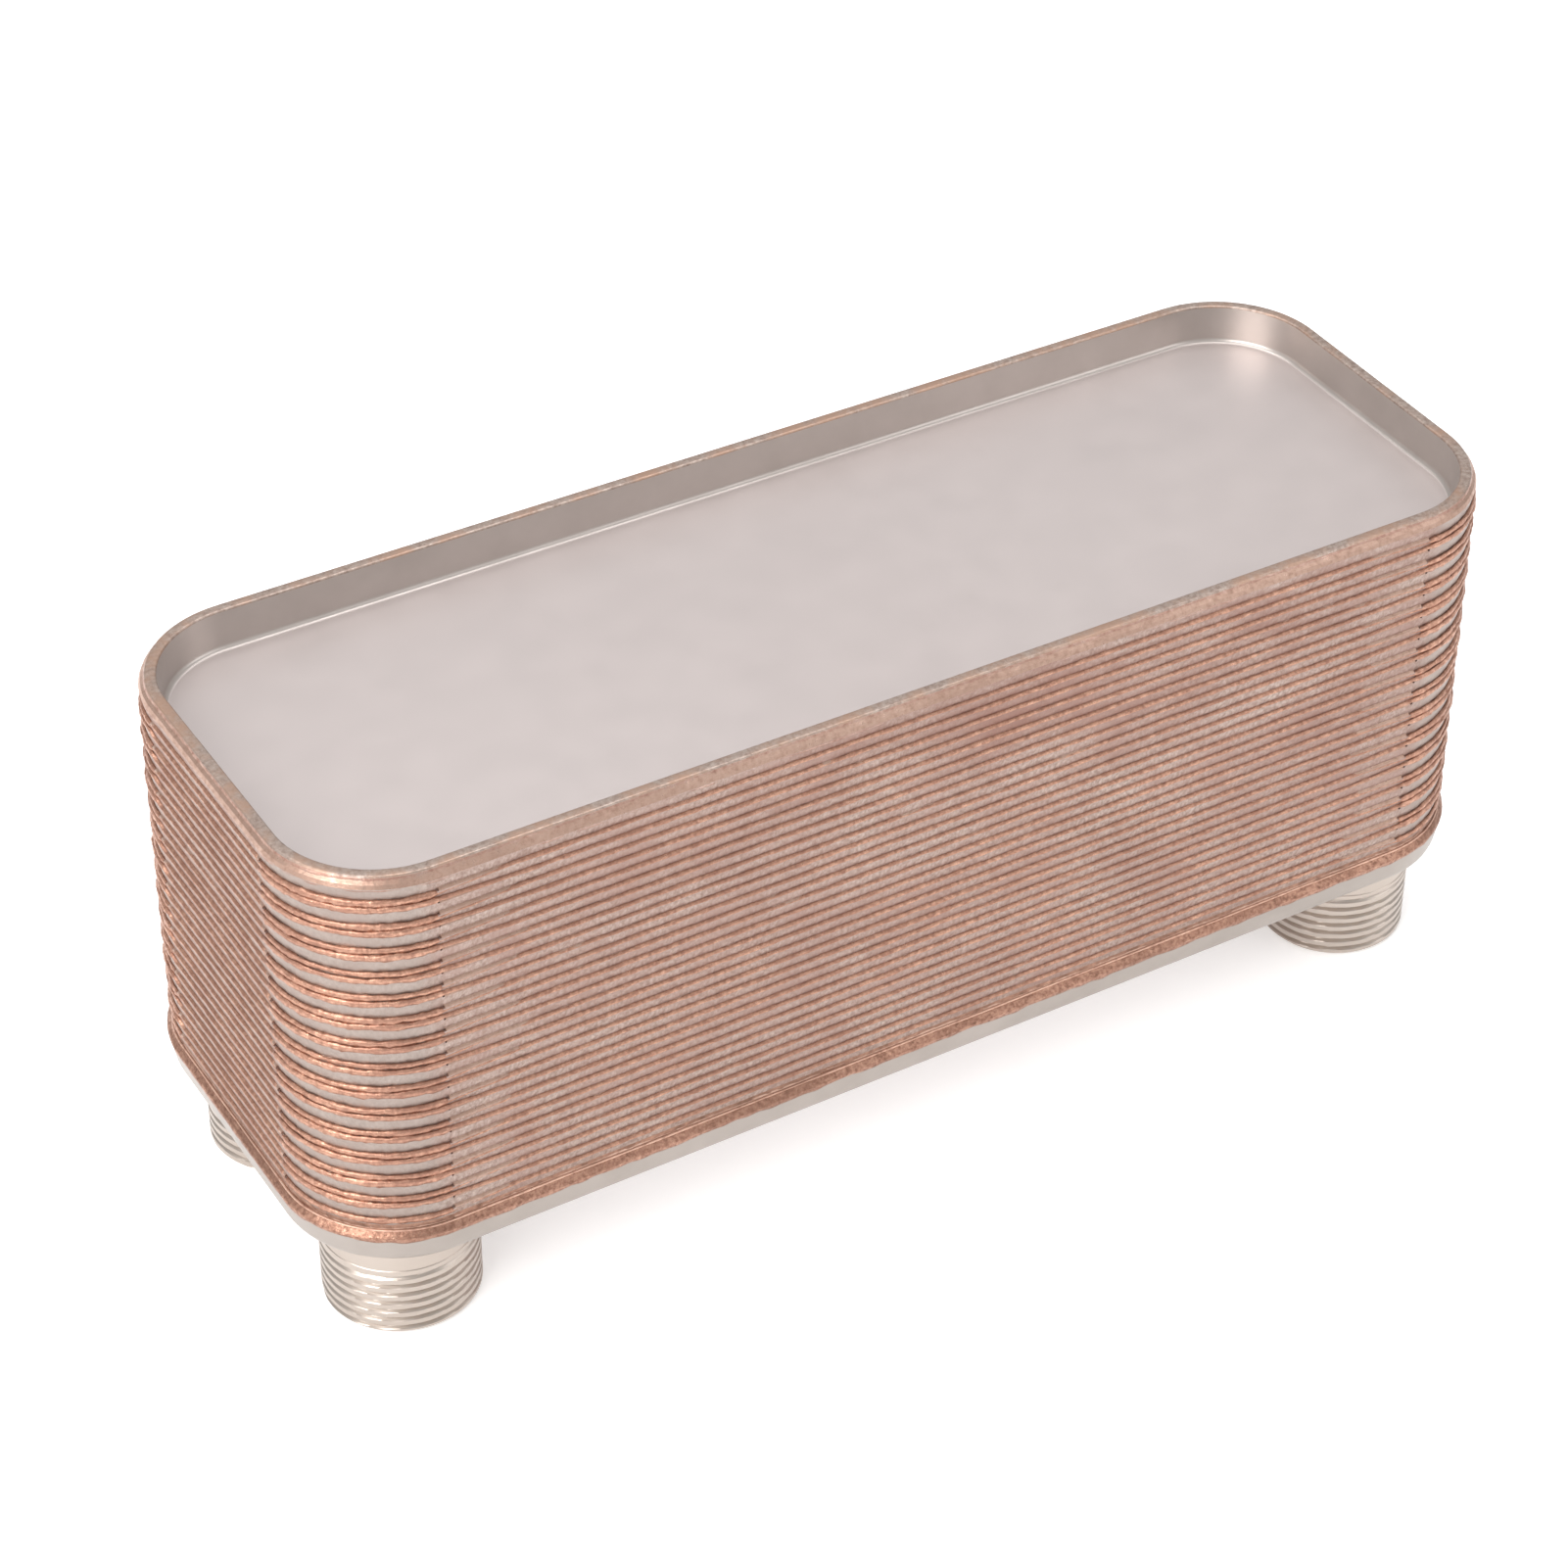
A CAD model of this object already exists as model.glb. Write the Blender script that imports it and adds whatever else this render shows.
import itertools
import math

import bmesh
import bpy
import numpy as np
from mathutils import Matrix, Vector
from mathutils.geometry import delaunay_2d_cdt


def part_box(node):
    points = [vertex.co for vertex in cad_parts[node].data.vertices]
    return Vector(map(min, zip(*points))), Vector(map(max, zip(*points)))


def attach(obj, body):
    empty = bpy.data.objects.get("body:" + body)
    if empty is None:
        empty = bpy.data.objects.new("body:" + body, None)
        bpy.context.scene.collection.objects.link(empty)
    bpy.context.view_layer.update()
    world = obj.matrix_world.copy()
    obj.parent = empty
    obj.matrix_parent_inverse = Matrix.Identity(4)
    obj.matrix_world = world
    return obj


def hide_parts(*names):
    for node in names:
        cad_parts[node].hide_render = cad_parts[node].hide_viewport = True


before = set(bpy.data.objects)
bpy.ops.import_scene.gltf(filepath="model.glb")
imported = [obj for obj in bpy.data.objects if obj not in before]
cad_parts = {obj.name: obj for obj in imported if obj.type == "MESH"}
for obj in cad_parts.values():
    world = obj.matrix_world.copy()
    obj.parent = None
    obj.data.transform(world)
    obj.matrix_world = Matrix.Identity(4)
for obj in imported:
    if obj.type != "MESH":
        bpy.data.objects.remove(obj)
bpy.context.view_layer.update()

MM = 0.001

# Sizes of the brazed stack, measured on the frame, in metres.
COVER_LOW, COVER_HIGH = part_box("front_cover_plate")
FIRST_LOW, FIRST_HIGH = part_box("front_seal_plate")
LAST_LOW, LAST_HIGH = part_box("rear_seal_plate")
REAR_LOW, REAR_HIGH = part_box("rear_cover_plate")
STUB_LOW, STUB_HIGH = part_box("pipe_stub_left_front")
PLATES = 30
HALF_L = FIRST_HIGH[0]
HALF_W = FIRST_HIGH[1]
PITCH = (LAST_LOW[2] - FIRST_LOW[2]) / (PLATES - 1)
FIRST_LIP = FIRST_HIGH[2]
LAST_LIP = LAST_HIGH[2]
COVER_Z = COVER_LOW[2]
REAR_Z = REAR_LOW[2]
RIM_Z = REAR_HIGH[2]
PORT_X = -(STUB_LOW[0] + STUB_HIGH[0]) / 2
PORT_Y = -(STUB_LOW[1] + STUB_HIGH[1]) / 2

# Sizes of the pressings, in metres.
CORNER_R = 20.2 * MM
LEAN = 0.2041
COVER_T = 1.8 * MM
CORNER_STEP = 0.6 * MM
STEP_RUN = 1.1 * MM
LONG_STEP_RUN = 17 * MM

# Distance between points round the stack, in metres, for the copper and for the covers.
COPPER_ALONG = 0.75 * MM
COVER_ALONG = 1.5 * MM

rng = np.random.default_rng(30)


# ---------------------------------------------------------------- the loop round the stack


class Loop:
    """Points round the lip line, each with its place p and its outward normal n.

    corner rises from 0 on the sides to 1 round the corners. step is 1 round the corners and dies away along
    the sides, as the step in the lips does.
    """

    def __init__(self, along):
        hx = HALF_L - CORNER_R
        hy = HALF_W - CORNER_R
        points, normals, corner, step = [], [], [], []
        arc = CORNER_R * math.pi / 2
        for turn in range(4):
            side = hy if turn % 2 == 0 else hx
            reach = hx if turn % 2 == 0 else hy
            angle = turn * math.pi / 2
            out = Vector((math.cos(angle), math.sin(angle)))
            left = Vector((-out.y, out.x))
            steps = round(2 * side / along)
            for i in range(steps):
                points.append(out * (reach + CORNER_R) + left * side * (2 * i / steps - 1))
                normals.append(out)
                corner.append(0.0)
                from_end = min(i, steps - i) * 2 * side / steps
                run = LONG_STEP_RUN if turn % 2 else STEP_RUN
                step.append(max(0.0, 1 - from_end / run) ** 2)
            steps = round(arc / along)
            for i in range(steps):
                a = angle + math.pi / 2 * i / steps
                normal = Vector((math.cos(a), math.sin(a)))
                points.append(out * reach + left * side + normal * CORNER_R)
                normals.append(normal)
                into = min(i, steps - i) * arc / steps / STEP_RUN
                corner.append(min(into, 1.0))
                step.append(1.0)
        self.p = np.array(points)
        self.n = np.array(normals)
        c = np.array(corner)
        self.corner = c * c * (3 - 2 * c)
        self.step = np.array(step)
        self.count = len(points)
        self.length = 4 * (hx + hy) + 4 * arc

    def noise(self, cell):
        """Smooth seeded noise from -1 to 1, repeating round the loop, with cells of about this size."""
        cells = max(4, round(self.length / cell))
        values = rng.uniform(-1, 1, cells)
        t = np.arange(self.count) * cells / self.count
        i = np.floor(t).astype(int)
        f = t - i
        f = f * f * (3 - 2 * f)
        return values[i % cells] * (1 - f) + values[(i + 1) % cells] * f


LOOP = Loop(COPPER_ALONG)


# ---------------------------------------------------------------- mesh helpers


def add_object(name, data):
    """Puts a mesh, a light or a camera in the scene."""
    obj = bpy.data.objects.new(name, data)
    bpy.context.scene.collection.objects.link(obj)
    return obj


def smooth_object(name, verts, faces, material):
    """Smooth-shaded mesh of one material, with its faces turned outward."""
    mesh = bpy.data.meshes.new(name)
    mesh.from_pydata(verts, [], faces)
    mesh.materials.append(material)
    mesh.polygons.foreach_set("use_smooth", [True] * len(mesh.polygons))
    bm = bmesh.new()
    bm.from_mesh(mesh)
    bmesh.ops.recalc_face_normals(bm, faces=bm.faces)
    bm.to_mesh(mesh)
    bm.free()
    return add_object(name, mesh)


def tube_faces(rows, cols):
    """Four-sided faces of a grid of vertices, stored row after row, that closes on itself both ways."""
    faces = []
    for i in range(rows):
        k = (i + 1) % rows
        for j in range(cols):
            m = (j + 1) % cols
            faces.append((i * cols + j, k * cols + j, k * cols + m, i * cols + m))
    return faces


def sweep(name, outward, height, material):
    """Closed band round the stack. outward and height hold a row per loop point, a column per corner."""
    x = LOOP.p[:, 0:1] + LOOP.n[:, 0:1] * outward
    y = LOOP.p[:, 1:2] + LOOP.n[:, 1:2] * outward
    verts = np.stack([x, y, height], axis=2).reshape(-1, 3)
    return smooth_object(name, verts.tolist(), tube_faces(*outward.shape), material)


def arc_points(cx, cz, r, start, end, steps):
    """Points of an arc in a section, with angles in degrees."""
    angles = np.radians(np.linspace(start, end, steps + 1))
    return [(cx + r * math.cos(a), cz + r * math.sin(a)) for a in angles]


def sharpen(obj, degrees):
    """Keeps edges sharper than this angle crisp under smooth shading."""
    mesh = obj.data
    bm = bmesh.new()
    bm.from_mesh(mesh)
    limit = math.radians(degrees)
    for edge in bm.edges:
        if len(edge.link_faces) == 2 and edge.calc_face_angle(0) > limit:
            edge.smooth = False
    bm.to_mesh(mesh)
    bm.free()


# ---------------------------------------------------------------- materials


class Nodes:
    """Short names for building a node material."""

    def __init__(self, name):
        self.material = bpy.data.materials.new(name)
        self.material.use_nodes = True
        self.tree = self.material.node_tree
        self.shader = self.tree.nodes["Principled BSDF"]
        self.place = self.tree.nodes.new("ShaderNodeTexCoord").outputs["Object"]

    def link(self, a, b):
        self.tree.links.new(a, b)

    def set(self, **values):
        for key, value in values.items():
            self.shader.inputs[key.replace("_", " ")].default_value = value

    def noise(self, scale, detail=3.0, rough=0.5, stretch=(1, 1, 1), offset=(0, 0, 0)):
        mapping = self.tree.nodes.new("ShaderNodeMapping")
        mapping.inputs["Scale"].default_value = stretch
        mapping.inputs["Location"].default_value = offset
        self.link(self.place, mapping.inputs["Vector"])
        node = self.tree.nodes.new("ShaderNodeTexNoise")
        node.inputs["Scale"].default_value = scale
        node.inputs["Detail"].default_value = detail
        node.inputs["Roughness"].default_value = rough
        self.link(mapping.outputs["Vector"], node.inputs["Vector"])
        return node.outputs["Fac"]

    def ramp(self, fac, stops):
        node = self.tree.nodes.new("ShaderNodeValToRGB")
        while len(node.color_ramp.elements) < len(stops):
            node.color_ramp.elements.new(0.5)
        for element, (place, value) in zip(node.color_ramp.elements, stops):
            element.position = place
            element.color = (*value, 1) if isinstance(value, tuple) else (value, value, value, 1)
        self.link(fac, node.inputs["Fac"])
        return node.outputs["Color"]

    def mix(self, fac, a, b):
        """Colour between a, which is a socket, and b, which is a socket or a fixed colour."""
        node = self.tree.nodes.new("ShaderNodeMix")
        node.data_type = "RGBA"
        self.link(fac, node.inputs[0])
        self.link(a, node.inputs[6])
        if isinstance(b, tuple):
            node.inputs[7].default_value = (*b, 1)
        else:
            self.link(b, node.inputs[7])
        return node.outputs[2]

    def scale_range(self, value, low, high, out_low, out_high):
        node = self.tree.nodes.new("ShaderNodeMapRange")
        limits = {"From Min": low, "From Max": high, "To Min": out_low, "To Max": out_high}
        for socket, number in limits.items():
            node.inputs[socket].default_value = number
        self.link(value, node.inputs["Value"])
        return node.outputs["Result"]

    def axis(self, name):
        node = self.tree.nodes.new("ShaderNodeSeparateXYZ")
        self.link(self.place, node.inputs["Vector"])
        return node.outputs[name]

    def math(self, operation, a, b=0.0):
        node = self.tree.nodes.new("ShaderNodeMath")
        node.operation = operation
        for value, socket in ((a, node.inputs[0]), (b, node.inputs[1])):
            if isinstance(value, (int, float)):
                socket.default_value = value
            else:
                self.link(value, socket)
        return node.outputs["Value"]

    def colour(self, socket):
        self.link(socket, self.shader.inputs["Base Color"])

    def roughness(self, noise, at_low, at_high):
        """Roughness that runs from one value to the other as the noise rises."""
        rough = self.scale_range(noise, 0.3, 0.7, at_low, at_high)
        self.link(rough, self.shader.inputs["Roughness"])

    def bump(self, height, strength, distance):
        node = self.tree.nodes.new("ShaderNodeBump")
        node.inputs["Strength"].default_value = strength
        node.inputs["Distance"].default_value = distance
        self.link(height, node.inputs["Height"])
        self.link(node.outputs["Normal"], self.shader.inputs["Normal"])

    def past_corner(self, axis, half):
        """Rises from 0 to 1 where one axis leaves the straight part of the stack and enters the corners."""
        start = half - CORNER_R
        return self.scale_range(self.math("ABSOLUTE", self.axis(axis)), start, start + 4 * MM, 0, 1)


# Colours of the metals, as linear red, green and blue.
SKIRT_DARK = (0.29, 0.21, 0.18)
SKIRT_BODY = (0.415, 0.32, 0.28)
SKIRT_LIGHT = (0.54, 0.445, 0.40)
SKIRT_PINK = (0.37, 0.245, 0.21)
SKIRT_STAIN = (0.27, 0.145, 0.115)
SKIRT_CLEAN = (0.37, 0.325, 0.295)
COVER_DARK = (0.595, 0.532, 0.518)
COVER_LIGHT = (0.61, 0.548, 0.534)
COVER_SMUDGE = (0.42, 0.36, 0.34)
EDGE_DARK = (0.27, 0.20, 0.17)
EDGE_BODY = (0.41, 0.32, 0.275)
EDGE_LIGHT = (0.56, 0.47, 0.415)
EDGE_COPPER = (0.47, 0.30, 0.22)
STUB_DARK = (0.50, 0.435, 0.385)
STUB_LIGHT = (0.54, 0.475, 0.425)

# Braze copper: light, body and dark colours, grains to the metre, and how deep the grain looks.
COPPERS = {
    "copper_bead": ((0.66, 0.39, 0.28), (0.45, 0.24, 0.17), (0.32, 0.165, 0.12), 1300, 0.8),
    "copper_coat": ((0.54, 0.32, 0.23), (0.36, 0.19, 0.135), (0.22, 0.115, 0.08), 1500, 0.9),
    "copper_rim": ((0.58, 0.41, 0.345), (0.47, 0.295, 0.235), (0.34, 0.19, 0.15), 900, 0.6),
    "copper_seam": ((0.58, 0.40, 0.32), (0.50, 0.33, 0.26), (0.38, 0.24, 0.185), 900, 0.5),
    "copper_fillet": ((0.40, 0.23, 0.165), (0.28, 0.155, 0.11), (0.18, 0.10, 0.07), 700, 0.5),
    "copper_run": ((0.80, 0.55, 0.43), (0.68, 0.43, 0.33), (0.42, 0.24, 0.18), 600, 0.3),
}


def plate_material():
    """Stainless skirt of a channel plate: satin, blotched, with a copper tint where the furnace left it."""
    m = Nodes("plate_steel_stained")
    grain = m.noise(1700, 3, 0.7, stretch=(1, 1, 0.6))
    base = m.ramp(grain, [(0.34, SKIRT_DARK), (0.5, SKIRT_BODY), (0.66, SKIRT_LIGHT)])
    tint = m.ramp(m.noise(90, 4, 0.6, offset=(3, 1, 0)), [(0.38, 0.0), (0.66, 0.7)])
    pink = m.mix(tint, base, SKIRT_PINK)
    blotches = m.noise(30, 5, 0.65, stretch=(0.6, 0.6, 1.3), offset=(0.31, 0.2, 0.4))
    stain = m.ramp(blotches, [(0.38, 0.0), (0.62, 0.95)])
    height = m.scale_range(m.axis("Z"), 40 * MM, 85 * MM, 0.08, 1.0)
    far = m.scale_range(m.axis("X"), -90 * MM, 40 * MM, 0.35, 1.0)
    stained = m.mix(stain, pink, SKIRT_STAIN)
    colour = m.mix(m.math("MULTIPLY", height, far), pink, stained)
    clean = m.math("MULTIPLY", m.past_corner("X", HALF_L), m.past_corner("Y", HALF_W))
    m.colour(m.mix(m.math("MULTIPLY", clean, 0.65), colour, SKIRT_CLEAN))
    m.roughness(m.noise(400, 3), 0.34, 0.52)
    m.set(Metallic=0.8)
    m.bump(m.noise(2200, 3, 0.7), 0.35, 0.06 * MM)
    return m.material


def copper_material(name, light, body, dark, grain_scale, bump):
    """Braze copper: run metal with a grain, lighter on its crests and browner where it oxidised."""
    m = Nodes(name)
    spots = m.noise(grain_scale, 3, 0.65)
    colour = m.ramp(spots, [(0.30, dark), (0.47, body), (0.70, light)])
    oxide = m.ramp(m.noise(45, 4, 0.6), [(0.45, 0.0), (0.72, 0.65)])
    colour = m.mix(oxide, colour, dark)
    m.colour(colour)
    m.roughness(spots, 0.48, 0.26)
    m.set(Metallic=0.85)
    m.bump(m.noise(grain_scale * 0.8, 4, 0.7, offset=(1, 2, 3)), bump, 0.15 * MM)
    return m.material


def cover_material():
    """Pickled steel of the covers: pale, matt, faintly pink, with soft rolling marks."""
    m = Nodes("cover_steel_satin")
    cloud = m.noise(14, 3, 0.5)
    colour = m.ramp(cloud, [(0.3, COVER_DARK), (0.7, COVER_LIGHT)])
    smudge = m.ramp(m.noise(38, 5, 0.65, offset=(0.2, 0.4, 0)), [(0.60, 0.0), (0.80, 0.10)])
    m.colour(m.mix(smudge, colour, COVER_SMUDGE))
    m.roughness(m.noise(120, 3), 0.42, 0.47)
    m.set(Metallic=0.75)
    rolled = m.noise(260, 3, 0.6, stretch=(0.15, 1, 1))
    m.bump(rolled, 0.12, 0.05 * MM)
    return m.material


def wall_material(name, dark, light):
    """Drawn or bent wall of a cover: smoother and darker than its flat."""
    m = Nodes(name)
    m.colour(m.ramp(m.noise(60, 4, 0.6), [(0.3, dark), (0.7, light)]))
    m.roughness(m.noise(200, 3), 0.32, 0.40)
    m.set(Metallic=0.9)
    m.bump(m.noise(500, 3, 0.6, stretch=(1, 1, 0.15)), 0.10, 0.04 * MM)
    return m.material


def edge_material():
    """Sheared edge of the rear cover: beige metal mottled with copper that crept over it."""
    m = Nodes("cover_edge_mottled")
    spots = m.noise(1100, 3, 0.7)
    colour = m.ramp(spots, [(0.30, EDGE_DARK), (0.5, EDGE_BODY), (0.72, EDGE_LIGHT)])
    crept = m.ramp(m.noise(140, 4, 0.6), [(0.42, 0.0), (0.62, 0.8)])
    m.colour(m.mix(crept, colour, EDGE_COPPER))
    m.roughness(spots, 0.5, 0.32)
    m.set(Metallic=0.8)
    m.bump(m.noise(1000, 3, 0.7), 0.5, 0.1 * MM)
    return m.material


def stub_material():
    """Turned stainless of the pipe stubs, with fine tool rings."""
    m = Nodes("stub_steel_turned")
    m.colour(m.ramp(m.noise(60, 2, 0.5), [(0.3, STUB_DARK), (0.7, STUB_LIGHT)]))
    m.roughness(m.noise(300, 2), 0.32, 0.36)
    m.set(Metallic=0.95)
    rings = m.noise(900, 2, 0.5, stretch=(0.02, 0.02, 4))
    m.bump(rings, 0.05, 0.03 * MM)
    return m.material


COPPER = {name: copper_material(name, *recipe) for name, recipe in COPPERS.items()}
PLATE_STEEL = plate_material()
COVER_STEEL = cover_material()
WALL_STEEL = wall_material("cover_steel_drawn", (0.48, 0.435, 0.405), (0.54, 0.49, 0.46))
SIDE_STEEL = wall_material("cover_steel_bent", (0.36, 0.32, 0.29), (0.42, 0.375, 0.345))
EDGE_STEEL = edge_material()
STUB_STEEL = stub_material()

CAD_MATERIALS = {"braze": COPPER["copper_seam"], "plate": PLATE_STEEL, "stub": STUB_STEEL}
for node_name, node_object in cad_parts.items():
    kind = next(key for key in CAD_MATERIALS if key in node_name)
    for slot in node_object.material_slots:
        slot.material = CAD_MATERIALS[kind]


# ---------------------------------------------------------------- copper beads on the plate lips


# Fillet of copper on a lip, against the skirt above it: (outward, up) from the lip line, in millimetres.
FILLET = np.array([
    (0.08, 0.02), (0.08, 0.12), (0.03, 0.21), (-0.05, 0.29), (-0.15, 0.36),
    (-0.27, 0.45), (-0.38, 0.50), (-0.46, 0.42), (-0.48, 0.28), (-0.48, 0.10),
    (-0.40, 0.00), (-0.28, -0.08), (-0.12, -0.12), (0.02, -0.09),
])
# Middles of the fillet and of the round corner bead, and the bead's half width and half height.
FILLET_MIDDLE = np.array((-0.20, 0.18))
BEAD_MIDDLE = np.array((-0.22, 0.08))
BEAD_SIZE = np.array((0.40, 0.58))


def lip_bead(k):
    """Copper along the lip of plate k: a fillet on the straight sides, a thick bead round the corners.

    Round the corners the lips of even plates step up and those of odd plates step down, so they pair up.
    """
    angles = np.linspace(0, 2 * math.pi, len(FILLET), endpoint=False)
    bead = np.stack([np.cos(angles), np.sin(angles)], axis=1) * BEAD_SIZE
    weight = LOOP.corner[:, None, None]
    section = (FILLET - FILLET_MIDDLE) * (1 - weight) + bead * weight
    middle = FILLET_MIDDLE * (1 - weight) + BEAD_MIDDLE * weight
    swell = 1 + 0.15 * LOOP.noise(1.6 * MM) + 0.12 * LOOP.noise(9 * MM) + 0.10 * LOOP.noise(50 * MM)
    spread = (0.05 + 0.07 * LOOP.corner)[:, None]
    grain = swell[:, None] * (1 + spread * rng.standard_normal((LOOP.count, len(FILLET))))
    shape = (middle + section * grain[:, :, None]) * MM
    step = (CORNER_STEP if k % 2 == 0 else -CORNER_STEP) * LOOP.step
    out = step * LEAN + 0.03 * MM * LOOP.noise(5 * MM)
    up = FIRST_LIP + (k - 1) * PITCH + step + 0.04 * MM * LOOP.noise(3 * MM)
    outward = out[:, None] + shape[:, :, 0]
    height = up[:, None] + shape[:, :, 1]
    bead = sweep(f"copper_bead_{k:02d}", outward, height, COPPER["copper_bead"])
    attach(bead, "root")


def strip(name, line, thickness, roughen, material, edge_wander=0.0):
    """Coat of copper that follows a line of section points, thickest in the middle of the line.

    Its lower edge wanders along the line by about edge_wander. It stays inside the front cover's outline.
    """
    steps = 12
    fine = 1.1 * MM
    buried = 0.15 * MM
    line = np.array(line)
    along = np.concatenate([[0], np.cumsum(np.hypot(*np.diff(line, axis=0).T))])
    t = np.linspace(0, along[-1], steps)
    u = np.interp(t, along, line[:, 0])
    v = np.interp(t, along, line[:, 1])
    du = np.gradient(u)
    dv = np.gradient(v)
    norm = np.hypot(du, dv)
    nu, nv = -dv / norm, du / norm
    outward = np.zeros((LOOP.count, 2 * steps))
    height = np.zeros((LOOP.count, 2 * steps))
    wander = LOOP.noise(2.2 * MM) + 0.7 * LOOP.noise(8 * MM)
    limit = COVER_HIGH[0] - HALF_L
    for j in range(steps):
        swell = thickness * math.sin(math.pi * (j + 0.6) / (steps + 0.2)) ** 0.5
        rough = roughen * (0.6 * LOOP.noise(fine) + 0.4 * LOOP.noise(4 * fine))
        lift = swell + rough * (swell / thickness)
        end = edge_wander * max(0.0, (j - steps / 2) / (steps / 2))
        outward[:, j] = u[j] + nu[j] * lift + wander * end * du[j] / norm[j]
        height[:, j] = v[j] + nv[j] * lift + wander * end * dv[j] / norm[j]
        outward[:, 2 * steps - 1 - j] = u[j] - nu[j] * buried
        height[:, 2 * steps - 1 - j] = v[j] - nv[j] * buried
    piece = sweep(name, np.minimum(outward, limit), height, COPPER[material])
    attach(piece, "root")


for plate in range(1, PLATES):
    lip_bead(plate)


# ---------------------------------------------------------------- cover plates


# Where the flat sheets of the covers begin, in from the lip line. The front one clears the port holes.
REAR_FLAT = -7 * MM
FRONT_FLAT = -3 * MM
HOLE_R = 12.1 * MM
COVER_CREASE = 32

# Places in a cover's list of materials.
FLAT, WALL, EDGE = range(3)

RIM_LEAN = 0.09
RIM_OUT = -0.95 * MM
RIM_IN = RIM_OUT - COVER_T - 0.2 * MM
RIM_BEVEL = 0.35 * MM
RECESS_R = 1.0 * MM


def fill(bm, outline, holes, slot):
    """Flat sheet inside an outline, with round holes left open. Each ring is a list of vertices."""
    verts = list(outline)
    edges = [(i, (i + 1) % len(outline)) for i in range(len(outline))]
    middles = []
    for ring in holes:
        start = len(verts)
        verts += ring
        edges += [(start + i, start + (i + 1) % len(ring)) for i in range(len(ring))]
        middle = sum((v.co.xy for v in ring), Vector((0, 0))) / len(ring)
        middles.append((middle, (ring[0].co.xy - middle).length))
    points = [v.co.xy for v in verts]
    inside_outline = 1
    merge_within = 1e-7
    found, _, triangles, origin, _, _ = delaunay_2d_cdt(points, edges, [], inside_outline, merge_within)
    for triangle in triangles:
        centre = sum((found[i] for i in triangle), Vector((0, 0))) / 3
        if all((centre - middle).length > radius for middle, radius in middles):
            face = bm.faces.new([verts[origin[i][0]] for i in triangle])
            face.material_index = slot
            face.smooth = True


def port_holes(bm, low_z, high_z, slot):
    """Walls of the four holes for the stubs. Returns the rings at their low and at their high edges."""
    sides = 96
    angles = [2 * math.pi * i / sides for i in range(sides)]
    ring = [(HOLE_R * math.cos(a), HOLE_R * math.sin(a)) for a in angles]
    low_rings, high_rings = [], []
    for px, py in itertools.product((-PORT_X, PORT_X), (-PORT_Y, PORT_Y)):
        low = [bm.verts.new((px + x, py + y, low_z)) for x, y in ring]
        high = [bm.verts.new((px + x, py + y, high_z)) for x, y in ring]
        for i in range(sides):
            k = (i + 1) % sides
            bm.faces.new((low[i], low[k], high[k], high[i])).material_index = slot
        low_rings.append(low)
        high_rings.append(high)
    return low_rings, high_rings


def tray(name, section, slots, materials, ported=False):
    """Swept section. Flat sheets fill the middle from its first point and from its last point."""
    rows = Loop(COVER_ALONG)
    bm = bmesh.new()
    grid = []
    for place, normal in zip(rows.p, rows.n):
        grid.append([bm.verts.new((*(place + normal * outward), height)) for outward, height in section])
    for i, row in enumerate(grid):
        following = grid[(i + 1) % rows.count]
        for j in range(len(section) - 1):
            face = bm.faces.new((row[j], following[j], following[j + 1], row[j + 1]))
            face.material_index = slots[j]
            face.smooth = True
    low_rings, high_rings = [], []
    if ported:
        low_rings, high_rings = port_holes(bm, section[0][1], section[-1][1], slots[0])
    fill(bm, [row[0] for row in grid], low_rings, slots[0])
    fill(bm, [row[-1] for row in grid], high_rings, slots[-1])
    bmesh.ops.recalc_face_normals(bm, faces=bm.faces)
    mesh = bpy.data.meshes.new(name)
    bm.to_mesh(mesh)
    bm.free()
    for material in materials:
        mesh.materials.append(material)
    obj = add_object(name, mesh)
    sharpen(obj, COVER_CREASE)
    return obj


def rear_cover():
    """Tray with its rim upward. The last faces of the recess fillet are as pale as the floor."""
    floor_z = REAR_Z + COVER_T
    out_r = 2.2 * MM
    low_out = RIM_OUT - (RIM_Z - REAR_Z) * RIM_LEAN
    low_in = RIM_IN - (RIM_Z - floor_z - RECESS_R) * RIM_LEAN
    section = [(REAR_FLAT, REAR_Z)]
    section += arc_points(low_out - out_r, REAR_Z + out_r, out_r, -90, 0, 10)
    outer = len(section)
    section += [(RIM_OUT - RIM_BEVEL * RIM_LEAN, RIM_Z - RIM_BEVEL)]
    section += arc_points(RIM_OUT - RIM_BEVEL, RIM_Z - RIM_BEVEL, RIM_BEVEL, 20, 90, 4)
    section += arc_points(RIM_IN + RIM_BEVEL, RIM_Z - RIM_BEVEL, RIM_BEVEL, 90, 180, 4)
    rim = len(section)
    section += arc_points(low_in - RECESS_R, floor_z + RECESS_R, RECESS_R, 0, -90, 14)
    pale = 4
    wall = len(section) + 1 - pale
    section += [(REAR_FLAT, floor_z)]
    slots = [FLAT] * outer + [EDGE] * (rim - outer - 1) + [WALL] * (wall - rim) + [FLAT] * pale
    obj = tray("rear_cover", section, slots, [COVER_STEEL, WALL_STEEL, EDGE_STEEL])
    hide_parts("rear_cover_plate")
    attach(obj, "root")


rear_cover()
strip(
    "rear_rim_braze",
    [
        (RIM_OUT - 0.12 * MM, RIM_Z - 0.22 * MM),
        (RIM_OUT - 0.02 * MM, RIM_Z - 0.5 * MM),
        (-0.62 * MM, LAST_LIP + 0.50 * MM),
        (-0.22 * MM, LAST_LIP + 0.12 * MM),
        (-0.06 * MM, LAST_LIP - 0.30 * MM),
    ],
    0.09 * MM,
    0.07 * MM,
    "copper_rim",
    edge_wander=0.2 * MM,
)


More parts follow.
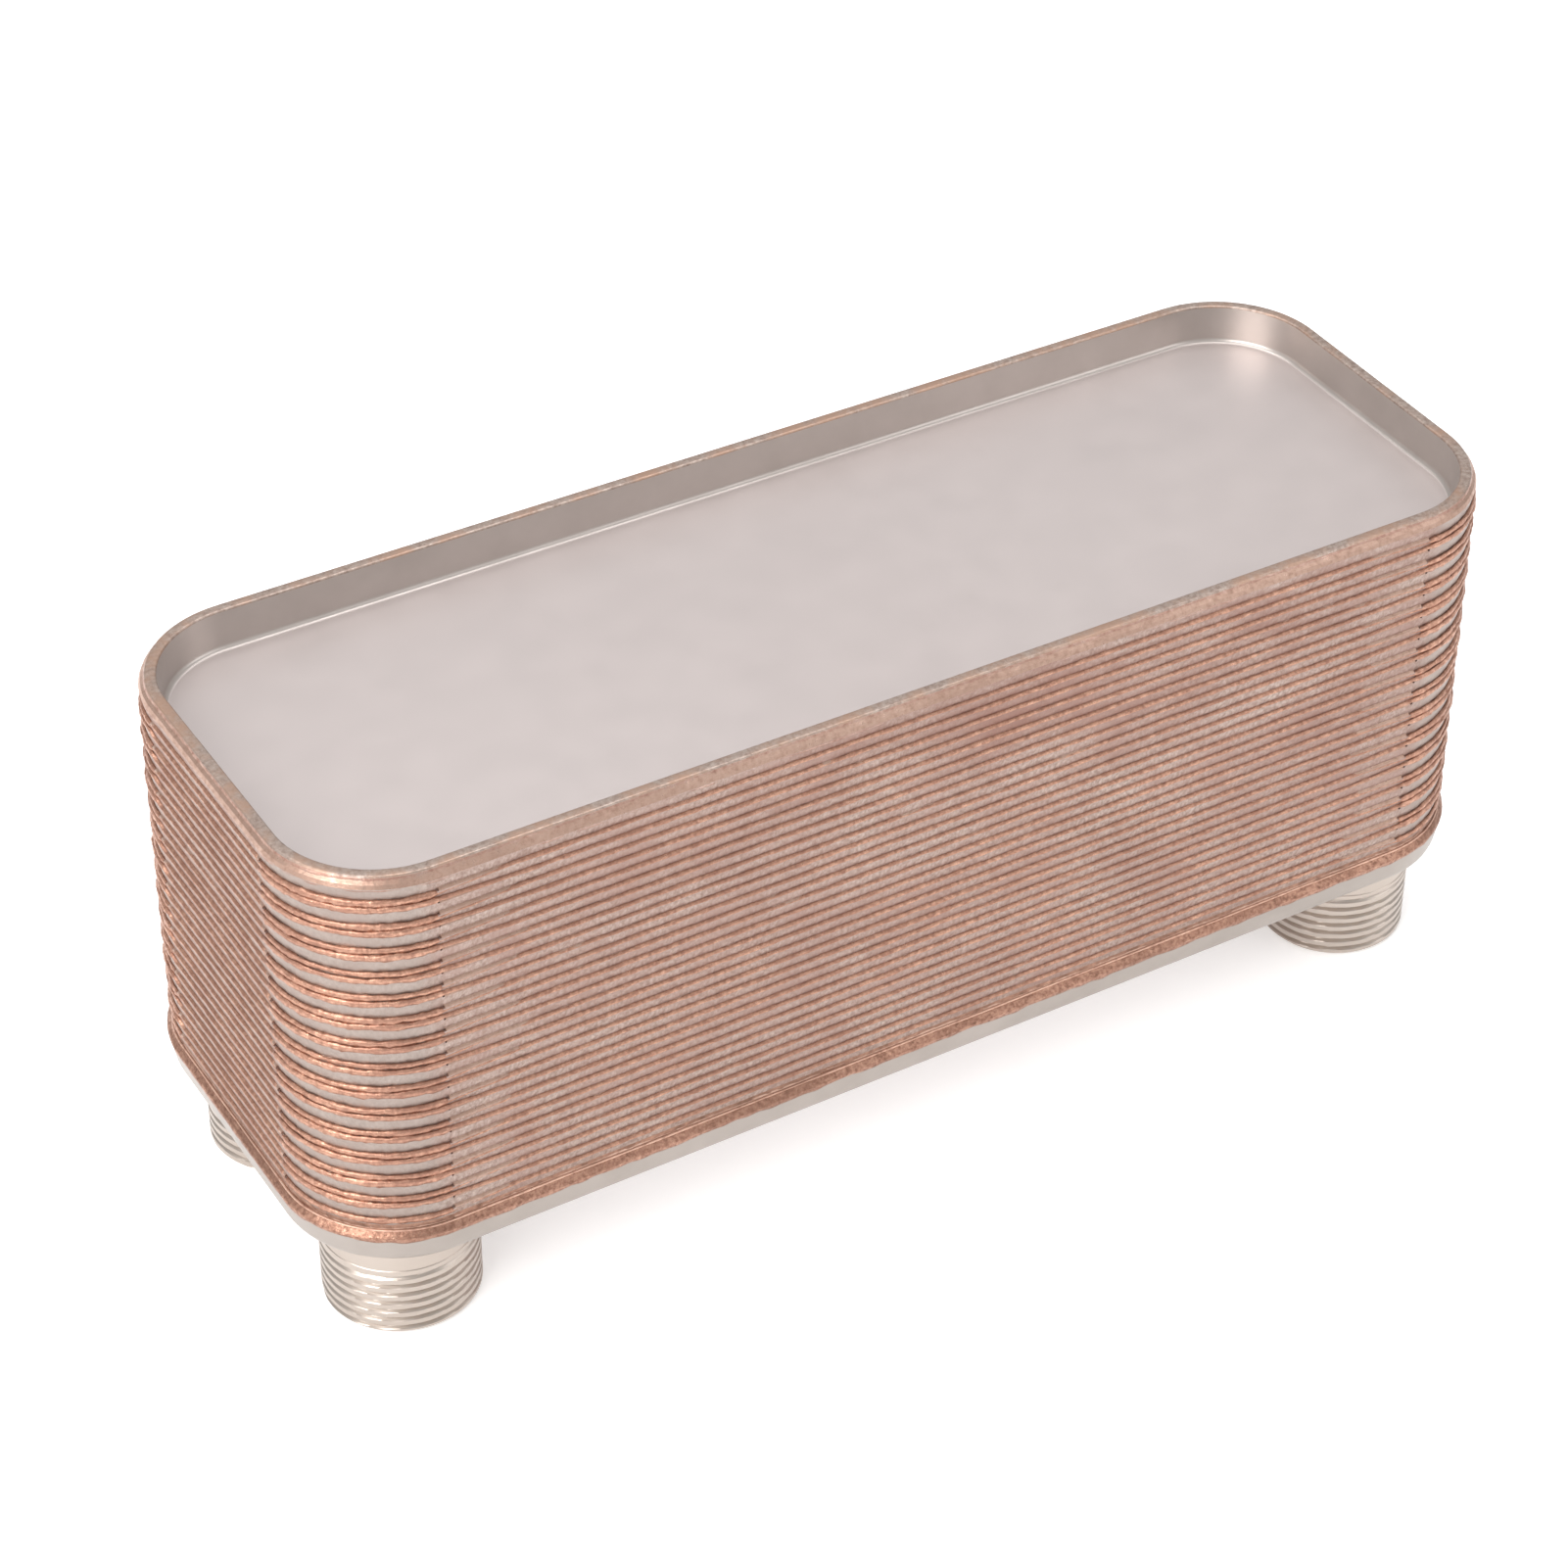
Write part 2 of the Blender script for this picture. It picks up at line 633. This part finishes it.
# The front cover stands a coat of copper inside its outline in the frame. CUT is its sheared edge, which
# rises inward, and SKIRT_GAP is its distance from the first plate.
COPPER_COAT = 0.12 * MM
COVER_OUT = COVER_HIGH[0] - HALF_L - COPPER_COAT
CUT_IN_Z = FIRST_LIP - 2.5 * MM
CUT_OUT_Z = FIRST_LIP - 3.6 * MM
SKIRT_GAP = 0.06 * MM
CUT_IN = (CUT_IN_Z - FIRST_LIP) * LEAN + SKIRT_GAP


def front_cover():
    """Tray that holds the first plate, with the holes for the stubs. Its lower edge is rounded."""
    out_r = 2.3 * MM
    floor_z = COVER_Z + COVER_T
    out_x = COVER_OUT - (CUT_OUT_Z - COVER_Z - out_r) * LEAN
    section = [(FRONT_FLAT, COVER_Z)]
    section += arc_points(out_x - out_r, COVER_Z + out_r, out_r, -90, -10, 12)
    side = len(section)
    section += [
        (COVER_OUT - 0.12 * MM, CUT_OUT_Z - 0.45 * MM),
        (COVER_OUT, CUT_OUT_Z),
        (CUT_IN + 0.3 * MM, CUT_IN_Z),
        (CUT_IN, CUT_IN_Z - 0.1 * MM),
    ]
    cut = len(section)
    section += [
        ((floor_z + 1 * MM - FIRST_LIP) * LEAN + SKIRT_GAP, floor_z + 1 * MM),
        ((floor_z - FIRST_LIP) * LEAN - 0.6 * MM, floor_z),
        (FRONT_FLAT, floor_z),
    ]
    bend = 5
    slots = [FLAT] * bend + [WALL] * (side - bend) + [EDGE] * (cut - side)
    slots += [FLAT] * (len(section) - cut)
    materials = [COVER_STEEL, SIDE_STEEL, COPPER["copper_coat"]]
    obj = tray("front_cover", section, slots, materials, ported=True)
    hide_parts("front_cover_plate")
    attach(obj, "root")


front_cover()
strip(
    "front_edge_braze",
    [
        (CUT_IN + 0.25 * MM, CUT_IN_Z),
        (COVER_OUT - 0.10 * MM, CUT_OUT_Z + 0.03 * MM),
        (COVER_OUT - 0.18 * MM, CUT_OUT_Z - 0.75 * MM),
    ],
    0.10 * MM,
    0.09 * MM,
    "copper_coat",
    edge_wander=0.28 * MM,
)
strip(
    "front_seam_fillet",
    [
        ((CUT_IN_Z + 1.3 * MM - FIRST_LIP) * LEAN - 0.1 * MM, CUT_IN_Z + 1.3 * MM),
        (CUT_IN + 0.05 * MM, CUT_IN_Z + 0.25 * MM),
        (CUT_IN + 0.35 * MM, CUT_IN_Z - 0.1 * MM),
    ],
    0.12 * MM,
    0.05 * MM,
    "copper_fillet",
)


def copper_run(name, out, up, radius):
    """Smooth round run of copper at one place in the section, all round the stack."""
    corners = 10
    angles = np.linspace(0, 2 * math.pi, corners, endpoint=False)
    size = radius * (1 + 0.16 * LOOP.noise(6 * MM) + 0.12 * LOOP.noise(2 * MM))
    outward = out + 0.05 * MM * LOOP.noise(9 * MM)[:, None] + size[:, None] * np.cos(angles)
    height = up + 0.04 * MM * LOOP.noise(14 * MM)[:, None] + size[:, None] * np.sin(angles)
    piece = sweep(name, outward, height, COPPER["copper_run"])
    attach(piece, "root")


copper_run("front_edge_run", CUT_IN + 0.32 * MM, CUT_IN_Z + 0.02 * MM, 0.20 * MM)


# ---------------------------------------------------------------- pipe stubs


THREAD_R = 13.22 * MM
THREAD_PITCH = 25.4 / 14 * MM
THREAD_DEPTH = 0.7 * MM
THREAD_TOP = 13.6 * MM
THREAD_FADE = 0.4 * MM
NOSE_CHAMFER = 0.9 * MM
COLLAR_R = 13.1 * MM
SPIGOT_R = 12 * MM
BORE_R = 10 * MM
BORE_CHAMFER = 0.4 * MM
STUB_CREASE = 40

# CREST is half the share of a turn that a crest takes. FLANK bends the flanks, which are straight at 1.
CREST = 0.26
FLANK = 0.85


def thread_radius(z, turn):
    """Radius of the threaded wall at height z, a share of a turn round from the start."""
    if z > THREAD_TOP + THREAD_FADE:
        return COLLAR_R
    phase = (z / THREAD_PITCH - turn) % 1
    if phase < CREST or phase > 1 - CREST:
        depth = 0.0
    else:
        across = abs(phase - 0.5) / (0.5 - CREST)
        depth = THREAD_DEPTH * (1 - across) ** FLANK
    if z > THREAD_TOP - THREAD_PITCH:
        depth *= max(0.0, (THREAD_TOP + THREAD_FADE - z) / (THREAD_PITCH + THREAD_FADE))
    chamfer = THREAD_R - max(0.0, NOSE_CHAMFER - z)
    return min(THREAD_R - depth, chamfer)


def pipe_stub(name, x, y, start):
    """Threaded stub on the port at x, y: outer wall upward, spigot, then the bore downward."""
    sides = 144
    top = COVER_Z + COVER_T
    heights = list(np.arange(0, THREAD_TOP + 0.6 * MM, 0.11 * MM)) + [COVER_Z]
    rows = [[thread_radius(z, i / sides + start) for i in range(sides)] for z in heights]
    levels = list(heights)
    spigot = [(SPIGOT_R, COVER_Z), (SPIGOT_R, top)]
    bore = [(BORE_R, top), (BORE_R, BORE_CHAMFER), (BORE_R + BORE_CHAMFER, 0)]
    for r, z in spigot + bore:
        rows.append([r] * sides)
        levels.append(z)
    verts = []
    for radii, z in zip(rows, levels):
        for i, r in enumerate(radii):
            a = 2 * math.pi * i / sides
            verts.append((x + r * math.cos(a), y + r * math.sin(a), z))
    obj = smooth_object(name, verts, tube_faces(len(rows), sides), STUB_STEEL)
    sharpen(obj, STUB_CREASE)
    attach(obj, "root")
    return obj


for side_x, side_name in ((-1, "left"), (1, "right")):
    for side_y, row_name in ((-1, "front"), (1, "rear")):
        tag = f"{side_name}_{row_name}"
        stub = pipe_stub(f"threaded_stub_{tag}", side_x * PORT_X, side_y * PORT_Y, rng.uniform())
        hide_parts(f"pipe_stub_{tag}")


# ---------------------------------------------------------------- floor, light and camera


def stage_floor():
    """White floor, which glows a little so that it melts into the background."""
    size = 4.0
    mesh = bpy.data.meshes.new("studio_floor")
    corners = [(-size, -size, 0), (size, -size, 0), (size, size, 0), (-size, size, 0)]
    mesh.from_pydata(corners, [], [(0, 1, 2, 3)])
    floor = add_object("studio_floor", mesh)
    m = Nodes("studio_white")
    m.set(Base_Color=(0.9, 0.9, 0.9, 1), Roughness=0.9, Emission_Color=(1, 1, 1, 1), Emission_Strength=0.35)
    mesh.materials.append(m.material)


def area_light(name, place, target, size, power, colour=(1, 1, 1)):
    """Rectangular light of this power, in watts, turned to face the target."""
    light = bpy.data.lights.new(name, "AREA")
    light.shape = "RECTANGLE"
    light.size, light.size_y = size
    light.energy = power
    light.color = colour
    obj = add_object(name, light)
    obj.location = place
    obj.rotation_euler = (Vector(target) - Vector(place)).to_track_quat("-Z", "Y").to_euler()


def studio_light():
    world = bpy.data.worlds.new("studio")
    world.use_nodes = True
    background = world.node_tree.nodes["Background"]
    background.inputs["Color"].default_value = (1, 1, 1, 1)
    background.inputs["Strength"].default_value = 0.6
    bpy.context.scene.world = world
    middle = (0, 0, 0.05)
    area_light("key", (-1.05, -0.45, 0.85), middle, (0.9, 0.9), 15, (1, 0.985, 0.965))
    area_light("top", (0.1, 0.3, 1.5), middle, (1.4, 0.9), 12)
    area_light("fill", (0.9, -0.9, 0.7), middle, (0.8, 0.8), 3)


# The photograph's view, found from its outlines: angles in degrees, place in metres, lens in millimetres,
# and how far the picture is shifted, as a share of its width.
VIEW_TURN = -33.0
VIEW_RISE = 35.87
VIEW_ROLL = 1.7
VIEW_PLACE = (-0.30594, -0.49571, 0.49819)
VIEW_LENS = 98.3
VIEW_SENSOR = 36
VIEW_SHIFT = (-0.0818, -0.0757)


def photo_camera():
    """Camera at the photograph's viewing angle, which looks down on the object from its front left."""
    turn = math.radians(VIEW_TURN)
    rise = math.radians(VIEW_RISE)
    roll = math.radians(VIEW_ROLL)
    back = Vector((math.sin(turn) * math.cos(rise), -math.cos(turn) * math.cos(rise), math.sin(rise)))
    level = Vector((math.cos(turn), math.sin(turn), 0))
    upright = back.cross(level)
    right = level * math.cos(roll) + upright * math.sin(roll)
    up = upright * math.cos(roll) - level * math.sin(roll)
    data = bpy.data.cameras.new("photo_camera")
    data.sensor_width = VIEW_SENSOR
    data.lens = VIEW_LENS
    data.shift_x, data.shift_y = VIEW_SHIFT
    data.clip_start = 0.01
    camera = add_object("photo_camera", data)
    facing = Matrix((right, up, back)).transposed().to_4x4()
    camera.matrix_world = Matrix.Translation(VIEW_PLACE) @ facing
    bpy.context.scene.camera = camera


bpy.context.scene.view_settings.view_transform = "Standard"
stage_floor()
studio_light()
photo_camera()
